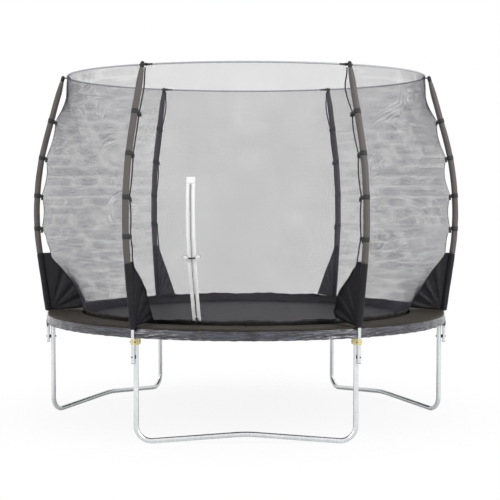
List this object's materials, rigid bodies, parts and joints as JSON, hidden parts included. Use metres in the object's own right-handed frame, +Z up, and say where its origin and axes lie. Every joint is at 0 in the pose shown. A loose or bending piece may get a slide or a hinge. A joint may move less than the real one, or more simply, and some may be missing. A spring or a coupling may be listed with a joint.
{
  "type": "enclosed garden trampoline",
  "caption": "Round garden trampoline on splayed tube leg units, with a sprung mat, padded edge with skirt, and a zipped net hung between curved padded poles under a rod hoop.",
  "frame": {"origin": "on the ground under the middle of the mat", "axes": "+Z up; -Y towards the bay with the door; +X to the right seen from the door; metres"},
  "size_m": [3.2988, 3.0572, 2.6185],
  "materials": {
    "galvanised_tube": "galvanised, satin",
    "yellow_zinc": "yellow zinc plating",
    "dark_zinc": "dull zinc",
    "spring_steel": "zinc plated wire",
    "black_plastic": "moulded, matt",
    "grey_foam": "closed-cell foam",
    "sleeve_fabric": "woven, grey-brown",
    "gusset_fabric": "coated, near black",
    "net_mesh": "fine knitted mesh, see-through",
    "black_webbing": "woven webbing",
    "mat_fabric": "woven polypropylene",
    "pad_cover": "coated fabric over foam",
    "skirt_fabric": "coated fabric, grey",
    "glass_fibre_rod": "pale, pultruded",
    "white_tape": "woven, white",
    "zip_metal": "black painted"
  },
  "bodies": {
    "frame": {"frame_rail_1": "galvanised_tube", "frame_rail_2": "galvanised_tube", "frame_rail_3": "galvanised_tube", "frame_rail_4": "galvanised_tube", "frame_rail_5": "galvanised_tube", "frame_rail_6": "galvanised_tube", "tee_sockets": "galvanised_tube", "tee_screws": "dark_zinc", "leg_base_front": "galvanised_tube", "leg_base_right": "galvanised_tube", "leg_base_left": "galvanised_tube", "leg_uprights": "galvanised_tube", "pole_lower_tubes": "galvanised_tube", "pole_upper_1": "galvanised_tube", "pole_upper_2": "galvanised_tube", "pole_upper_3": "galvanised_tube", "pole_upper_4": "galvanised_tube", "pole_upper_5": "galvanised_tube", "pole_upper_6": "galvanised_tube", "pole_foam": "grey_foam", "pole_sleeves": "sleeve_fabric", "pole_caps": "black_plastic", "pole_plugs": "black_plastic", "pole_clamps": "yellow_zinc", "clamp_bolts": "dark_zinc", "spacer_saddles": "black_plastic", "pole_bolts": "dark_zinc", "pole_nuts": "dark_zinc", "springs": "spring_steel", "spring_pad": "pad_cover", "pad_skirt": "skirt_fabric", "gusset_1": "gusset_fabric", "gusset_2": "gusset_fabric", "gusset_3": "gusset_fabric", "gusset_4": "gusset_fabric", "gusset_5": "gusset_fabric", "gusset_6": "gusset_fabric", "net_panel_1": "net_mesh", "net_panel_2": "net_mesh", "net_panel_3": "net_mesh", "net_panel_4": "net_mesh", "net_panel_5": "net_mesh", "net_panel_6": "net_mesh", "net_hems": "black_webbing", "net_ties": "black_webbing", "hoop_rods": "glass_fibre_rod", "hoop_ferrules": "black_plastic", "zip_tapes": "white_tape", "zip_chain": "black_plastic", "zip_patch": "white_tape", "latch_patches": "white_tape", "latch_studs": "black_plastic"},
    "jump_mat": {"mat": "mat_fabric", "mat_hem": "black_webbing", "mat_rings": "spring_steel"},
    "slider": {"zip_slider": "zip_metal"},
    "pull": {"zip_pull": "zip_metal"},
    "latch": {"latch_strap": "black_webbing"}
  },
  "joints": [
    {"name": "mat_bounce", "type": "slide", "parent": "frame", "child": "jump_mat", "axis": [0, 0, -1], "range_m": [0, 0.15], "stiffness_N_per_m": 6000, "springref_m": -0.012, "deforming": ["springs"]},
    {"name": "zip_run", "type": "hinge", "parent": "frame", "child": "slider", "pos_m": [0.18386, 0.66298, 1.62], "axis": [-0.9636, 0.2672, 0], "range_deg": [0, 25.49]},
    {"name": "zip_pull_swing", "type": "hinge", "parent": "slider", "child": "pull", "pos_m": [-0.34118, -1.23025, 0.84504], "axis": [-0.9636, 0.2672, 0], "range_deg": [-10, 120]},
    {"name": "latch_swing", "type": "hinge", "parent": "frame", "child": "latch", "pos_m": [-0.41393, -1.33612, 1.2798], "axis": [0.0494, -0.987, -0.153], "range_deg": [0, 100]}
  ]
}
